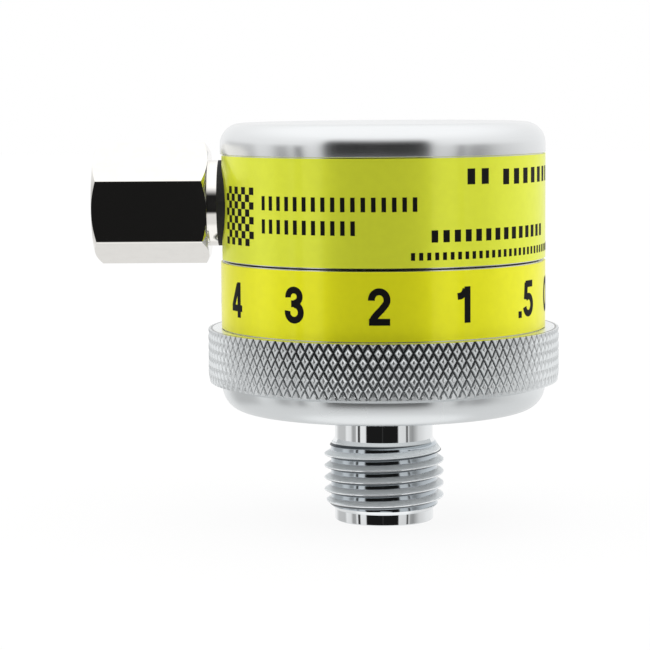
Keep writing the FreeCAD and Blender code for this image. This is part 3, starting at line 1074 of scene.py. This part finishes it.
@dataclass
class CaseMarks:
    """Plain marks on the case's band: a chequered block, rows of dashes and the index."""

    block_left: float = -159.7
    block_bottom: float = 33.25
    cell: float = 0.83
    cells: int = 8
    index_angle: float = INDEX_ANGLE
    index_bottom: float = 31.35
    index_height: float = 1.6
    index_half_angle: float = 2.6
    rows: tuple[DashRow, ...] = (
        DashRow(-134.6, -79.0, 38.20, 1.15, 0.50, 1.60),
        DashRow(-134.6, -99.5, 35.60, 1.15, 0.50, 1.60),
        DashRow(-59.0, -51.0, 41.15, 1.90, 1.00, 1.75),
        DashRow(-43.5, -6.0, 41.00, 1.90, 1.00, 1.75),
        DashRow(-72.5, -16.0, 34.65, 1.38, 0.76, 1.35),
        DashRow(-80.0, -5.0, 32.45, 0.92, 0.46, 0.85),
    )

    def build(self, ink: bpy.types.Material) -> None:
        """Lay every mark and make them one object."""
        marks = Print("case_marks")
        self.block(marks)
        for row in self.rows:
            self.dashes(marks, row)
        self.index(marks)
        marks.finish(ink, Body.CASE, "case_label")

    def block(self, marks: Print) -> None:
        """Chequered block of square cells."""
        step = math.degrees(self.cell / marks.radius)
        for row in range(self.cells):
            for column in range(row % 2, self.cells, 2):
                left = self.block_left + column * step
                marks.bar(left, left + step, self.block_bottom + (row + 0.5) * self.cell, self.cell)

    def dashes(self, marks: Print, row: DashRow) -> None:
        """Upright dashes at an even pitch."""
        path = np.array([[0.0, -row.tall / 2], [0.0, row.tall / 2]])
        for angle in np.arange(row.start, row.end, math.degrees(row.pitch / marks.radius)):
            marks.ribbon(path, row.width, math.radians(angle), row.height)

    def index(self, marks: Print) -> None:
        """Triangle that points down at the setting, as a stack of bars that widen upwards."""
        steps = 8
        overlap = 1.05
        for rise in (np.arange(steps) + 0.5) / steps:
            half = self.index_half_angle * rise
            height = self.index_bottom + self.index_height * rise
            tall = self.index_height / steps * overlap
            marks.bar(self.index_angle - half, self.index_angle + half, height, tall)


# Fittings


@dataclass
class OutletStem:
    """Chromed stem with its outlet thread, neck and gas bore."""

    lead_radius: float = 5.85
    lead_round: float = 0.15
    thread_bottom: float = 1.30
    thread_top: float = 9.80
    crest: float = 7.10
    depth: float = 0.82
    crest_half: float = 0.035
    under_share: float = 0.23
    upper_share: float = 0.37
    pitch: float = THREAD_PITCH
    crest_height: float = CREST_HEIGHT
    top_slope: float = 0.65
    neck_radius: float = 5.80
    flange_radius: float = 7.4
    journal_radius: float = 5.0
    outlet_bore: float = 4.0
    gas_bore: float = 2.1
    columns: int = 288

    def thread_rows(self) -> tuple[np.ndarray, np.ndarray]:
        """Radius and height of the thread's grid.

        Each row climbs one pitch a turn and keeps its place in the thread's form: a crest, the long
        flank above it, a root flat and the short flank under the next crest. After the turn it lies on the
        row one pitch above, where the points weld. Rows past an end of the thread stay at that end, and the
        ends are turned down by a cone.
        """
        angle = np.linspace(0.0, TURN, self.columns + 1)[None, :]
        near_edge = np.array([-0.035, -0.015, 0.0, 0.015, 0.035])
        flank_top = self.crest_half + self.upper_share
        flank_foot = 1.0 - self.crest_half - self.under_share
        upper = [0.0, *(self.crest_half + near_edge[1:]), 0.15, 0.22, 0.30, *(flank_top + near_edge)]
        lower = [0.52, 0.62, *(flank_foot + near_edge), 0.82, 0.88, *(1.0 - self.crest_half + near_edge[:4])]
        phases = np.array(upper + lower)
        turns = np.arange(-2, math.ceil((self.thread_top - self.thread_bottom) / self.pitch) + 2)
        along = (turns[:, None] + phases[None, :]).ravel()
        turns_down = math.floor((self.crest_height - self.thread_bottom) / self.pitch) + 0.5
        start = self.crest_height - self.pitch * turns_down
        helix = start + self.pitch * (along[:, None] + (angle - TURN / 2) / TURN + 0.5)
        height = np.clip(helix, self.thread_bottom, self.thread_top)
        return self.thread_radius(angle, height), height

    def thread_radius(self, angle: np.ndarray, height: np.ndarray) -> np.ndarray:
        """Radius of the thread at an angle and a height."""
        phase = (height - self.crest_height) / self.pitch - (angle - TURN / 2) / TURN
        middle = (self.upper_share - self.under_share) / 2
        off_crest = (phase + 0.5 - middle) % 1.0 - 0.5 + middle
        share = np.where(off_crest > 0, self.upper_share, self.under_share)
        flank = (np.abs(off_crest) - self.crest_half) / share
        soft = 0.05
        drop = 0.5 * (np.sqrt(flank ** 2 + soft ** 2) - np.sqrt((flank - 1) ** 2 + soft ** 2) + 1)
        radius = self.crest - self.depth * drop
        low = self.lead_radius + (height - self.thread_bottom)
        high = self.neck_radius + self.top_slope * (self.thread_top - height)
        return np.minimum(radius, np.minimum(low, high))

    def build(self, metal: bpy.types.Material) -> None:
        """Make the lead, the thread, the neck, the flange, the journal and the bores as one closed grid."""
        ones = np.ones((1, self.columns + 1))
        below, above = np.array(self.lower_outline()), np.array(self.upper_outline())
        thread = self.thread_rows()
        radius, height = (
            np.vstack([below[:, k, None] * ones, thread[k], above[:, k, None] * ones]) for k in (0, 1)
        )
        maker = MeshMaker("stem_shell")
        points = about_z(radius, height, np.linspace(0.0, TURN, self.columns + 1)[None, :])
        maker.quads(maker.add(points), wrap_rows=True)
        dress(maker.object(32.0), metal, Body.CASE, "outlet_stem")

    def lower_outline(self) -> Line:
        """Section from the gas bore down the outlet bore, round the lead and up to the thread."""
        bore, mouth_break, lead = self.outlet_bore, 0.3, self.lead_radius
        return [
            (self.gas_bore, 21.22),
            (self.gas_bore, 10.4),
            (bore, 8.5),
            (bore, mouth_break),
            (bore + mouth_break, 0.0),
            *arc((lead - self.lead_round, self.lead_round), (self.lead_round,) * 2, -90, 0, 8),
            (lead, self.thread_bottom),
        ]

    def upper_outline(self) -> Line:
        """Section from the neck over the flange, the grooved journal and the screw to the drill's tip."""
        z_flange, z_flange_top, z_spigot, z_top = 13.6, 15.0, 22.52, 31.02
        groove, groove_low, groove_high = 3.24, 16.32, 18.32
        screw, screw_break, tip = 4.0, 0.5, 22.27
        return [
            (self.neck_radius, self.thread_top),
            (self.neck_radius, z_flange),
            (self.flange_radius, z_flange),
            (self.flange_radius, z_flange_top),
            (self.journal_radius, z_flange_top),
            (self.journal_radius, groove_low),
            (groove, groove_low),
            (groove, groove_high),
            (self.journal_radius, groove_high),
            (self.journal_radius, z_spigot),
            (screw, z_spigot),
            (screw, z_top - screw_break),
            (screw - screw_break, z_top),
            (0.0, z_top),
            (0.0, tip),
        ]


@dataclass
class Inlet:
    """Nickelled adapter: spanner hexagon with turned corners, neck, screwed end and tapped mouth."""

    mouth: float = -33.65
    hex_end: float = -20.30
    neck_end: float = -19.25
    screw_end: float = -11.10
    flat: float = 6.25
    edge_round: float = 0.22
    roll: float = 6.5
    chamfer: float = 0.55
    neck_radius: float = 5.05
    screw_radius: float = 4.0
    screw_break: float = 0.5
    bore: float = 4.35
    bore_depth: float = 9.0
    mouth_break: float = 0.6
    filter_seat: float = 3.2
    filter_depth: float = 11.0
    passage: float = 2.1

    def angles(self) -> np.ndarray:
        """Angles round the hexagon, close together at its six rounded edges."""
        near = np.linspace(-1.0, 1.0, 9) * self.round_angle()
        across = np.linspace(0.0, math.pi / 3, 20)[1:-1]
        side = np.concatenate([near, across])
        first = math.radians(self.roll + 30.0)
        return np.sort(np.concatenate([first + k * math.pi / 3 + side for k in range(6)]))

    def round_angle(self) -> float:
        """Half angle that a rounded edge takes up, seen from the axis."""
        centre = (self.flat - self.edge_round) / math.cos(math.pi / 6)
        return math.atan2(self.edge_round * 0.5, centre + self.edge_round * math.cos(math.pi / 6))

    def hexagon(self, angle: np.ndarray) -> np.ndarray:
        """Radius of the hexagon: its flat's distance over a cosine, or an arc at its edges."""
        turn = (angle - math.radians(self.roll)) % (math.pi / 3)
        beside = np.minimum(turn, math.pi / 3 - turn)
        off_edge = math.pi / 6 - beside
        centre = (self.flat - self.edge_round) / math.cos(math.pi / 6)
        inside = np.maximum(self.edge_round ** 2 - (centre * np.sin(off_edge)) ** 2, 0.0)
        rounded = centre * np.cos(off_edge) + np.sqrt(inside)
        return np.where(off_edge < self.round_angle(), rounded, self.flat / np.cos(beside))

    def build(self, metal: bpy.types.Material) -> None:
        """Make the adapter.

        Each row is a radius and a place along the inlet's axis: a circle, or the hexagon, whose corners
        two turned cones cut back.
        """
        angle = self.angles()
        hexagon = self.hexagon(angle)
        corner = self.flat / math.cos(math.pi / 6)
        back = self.chamfer * np.maximum(hexagon - self.flat, 0.0) / (corner - self.flat)
        filter_face, bore_end = self.mouth + self.filter_depth, self.mouth + self.bore_depth
        land = self.flat - 0.03
        rows = [
            (self.passage, self.screw_end),
            (self.passage, filter_face),
            (self.filter_seat, filter_face),
            (self.filter_seat, bore_end),
            (self.bore, bore_end),
            (self.bore, self.mouth + self.mouth_break),
            (self.bore + self.mouth_break, self.mouth),
            (land, self.mouth),
            (hexagon, self.mouth + back + 0.01),
            (hexagon, (self.mouth + self.hex_end) / 2),
            (hexagon, self.hex_end - back - 0.01),
            (land, self.hex_end),
            (self.neck_radius, self.hex_end),
            (self.neck_radius, self.neck_end),
            (self.screw_radius, self.neck_end),
            (self.screw_radius, self.screw_end - self.screw_break),
            (self.screw_radius - self.screw_break, self.screw_end),
        ]
        radius, along = (np.stack([row[k] * np.ones_like(angle) for row in rows]) for k in (0, 1))
        maker = MeshMaker("inlet_shell")
        maker.quads(maker.add(about_x(radius, along, angle)), wrap_rows=True, wrap_columns=True)
        dress(maker.object(20.0), metal, Body.CASE, "inlet_adapter")


# Inner works


@dataclass
class InnerWorks:
    """Finishes of the pieces that stay as the frame holds them."""

    finishes: tuple[tuple[GrainedSolid, tuple[str, ...]], ...] = (
        (RUBBER, ("inlet_washer", "seat_o_ring", "spigot_o_ring", "hub_o_ring")),
        (BRONZE, ("inlet_filter",)),
        (WHITE_PLASTIC, ("port_seat", "thrust_washer")),
        (SPRING_STEEL, ("seat_spring", "detent_spring_front", "detent_spring_rear", "plate_ring")),
        (STEEL, ("orifice_plate", "plate_pins", "detent_ball_front", "detent_ball_rear")),
    )

    def build(self) -> None:
        """Give each kept node its material."""
        for finish, nodes in self.finishes:
            made = finish.material()
            for node in nodes:
                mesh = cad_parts[node].data
                mesh.materials.clear()
                mesh.materials.append(made)
                LOG.info("%s: %s", node, finish.name)


# Studio


@dataclass
class Studio:
    """Pale floor, white surroundings with a dark card round the camera, and the camera."""

    distance: float = 280.0
    eye_height: float = 51.42
    lens: float = 131.9
    pitch: float = 5.777
    yaw: float = 1.408
    roll: float = -0.42
    floor_size: float = 3.0
    floor_glow: float = 0.88
    lamp_power: float = 0.35

    def build(self) -> None:
        """Set the whole stage."""
        self.floor()
        self.world()
        self.lamps()
        self.camera()

    def camera(self) -> None:
        """Place the camera at the photograph's angle."""
        data = bpy.data.cameras.new("camera")
        data.lens = self.lens
        data.sensor_width = 36.0
        data.clip_start = 0.01
        eye = bpy.data.objects.new("camera", data)
        bpy.context.scene.collection.objects.link(eye)
        eye.location = Vector((0.0, -self.distance * MM, self.eye_height * MM))
        aim = Euler((math.radians(90.0 - self.pitch), 0.0, math.radians(self.yaw)), "XYZ").to_matrix()
        spin = Euler((0.0, 0.0, math.radians(self.roll)), "XYZ").to_matrix()
        eye.rotation_euler = (aim @ spin).to_euler("XYZ")
        bpy.context.scene.camera = eye

    def floor(self) -> None:
        """Lay the floor, which the camera sees nearly white and which keeps a soft shadow."""
        maker = MeshMaker("floor")
        half = self.floor_size / MM / 2
        across, along = np.meshgrid([-half, half], [-half, half])
        maker.quads(maker.add(np.stack([across, along, 0.0 * across], -1)))
        plane = maker.object()
        made = bpy.data.materials.new("floor_paper")
        graph = Graph(made)
        paper = graph.node("ShaderNodeBsdfDiffuse", None, {"Color": opaque(WHITE)})
        glow = graph.node("ShaderNodeEmission", None, {"Color": opaque(WHITE), "Strength": 1.0})
        seen = graph.node("ShaderNodeLightPath", output="Is Camera Ray")
        graph.finish(graph.node("ShaderNodeMixShader", None, {0: seen * self.floor_glow, 1: paper, 2: glow}))
        plane.data.materials.append(made)
        plane.visible_glossy = False
        plane.visible_transmission = False

    def world(self) -> None:
        """Surround the object with white that dims towards the ground and has a dark card in front.

        The ramp's greys count up to 2 degrees over the horizon and the card from 12 degrees on, and both
        fade out overhead and underfoot. The camera itself sees plain white.
        """
        world = bpy.data.worlds.new("studio")
        bpy.context.scene.world = world
        graph = Graph(world)
        direction = graph.node("ShaderNodeTexCoord", output="Generated")
        x, y, z = graph.split(direction)
        azimuth = x.maths("ARCTAN2", x, y * -1.0) * (180 / math.pi)
        elevation = x.maths("ARCSINE", z) * (180 / math.pi)
        level = elevation.step(-35.0, 5.0, 0.80, 0.98) + elevation.step(15.0, 60.0, 0.0, 0.22)
        level = level + elevation.step(-64.0, -52.0, 0.25, 0.0)
        ramp = {"stops": self.surround_stops()}
        around = graph.node("ShaderNodeValToRGB", ramp, {0: (azimuth + 180.0) / 360.0})
        grey = graph.node("ShaderNodeRGBToBW", None, {0: around})
        card = 1.0 - azimuth.step(-44.0, -40.0) * azimuth.step(32.0, 36.0, 1.0, 0.0) * 0.985
        side = grey + (card - grey) * elevation.step(2.0, 12.0)
        band = elevation.step(-30.0, -20.0) * elevation.step(20.0, 45.0, 1.0, 0.0)
        light = level * (1.0 - band * (1.0 - side))
        path = graph.node("ShaderNodeLightPath", output="Is Camera Ray")
        inputs = {"Color": opaque(WHITE), "Strength": path + (1.0 - path) * light}
        graph.finish(graph.node("ShaderNodeBackground", None, inputs), "ShaderNodeOutputWorld")

    def surround_stops(self) -> Line:
        """Grey levels round the horizon, from behind over the left, the front and the right."""
        levels = [
            (-180, 1.0), (-150, 1.0), (-132, 0.62), (-104, 0.60), (-98, 0.95), (-84, 0.85), (-78, 0.40),
            (-70, 0.45), (-67, 0.95), (-64, 0.95), (-63, 0.03), (-58, 0.03), (-57, 0.95), (-43, 0.92),
            (-41, 0.012), (-3.4, 0.012), (-2.4, 0.07), (-1.4, 0.012), (33, 0.012), (35, 0.85), (53, 0.8),
            (54.5, 0.10), (58, 0.10), (59.5, 0.85), (64, 0.40), (72, 0.35), (90, 0.75), (120, 0.95),
            (150, 1.0), (165, 1.0),
        ]
        return [((angle + 180.0) / 360.0, level) for angle, level in levels]

    def lamps(self) -> None:
        """Hang one weak softbox on either side for a little shape."""
        target = Vector((0.0, 0.0, 0.03))
        for name, side in (("left_box", -1.0), ("right_box", 1.0)):
            data = bpy.data.lights.new(name, "AREA")
            data.shape = "SQUARE"
            data.size = 0.4
            data.energy = self.lamp_power
            lamp = bpy.data.objects.new(name, data)
            bpy.context.scene.collection.objects.link(lamp)
            lamp.location = Vector((0.6 * side, -0.2, 0.35))
            lamp.rotation_euler = (target - lamp.location).to_track_quat("-Z", "Y").to_euler()
            lamp.visible_glossy = False


def main() -> None:
    """Build every sub-assembly and the stage."""
    logging.basicConfig(level=logging.INFO, format="%(name)s: %(message)s")
    ink = INK.material()
    Case().build(CASE_METAL.material())
    CaseBand().build(CASE_FILM.material())
    Dial().build(DIAL_METAL.material())
    DialBand().build(DIAL_FILM.material())
    Numerals().build(ink)
    CaseMarks().build(ink)
    OutletStem().build(CHROME.material())
    Inlet().build(NICKEL.material())
    InnerWorks().build()
    Studio().build()
    bpy.context.scene.view_settings.view_transform = "Standard"


if __name__ == "__main__":
    main()
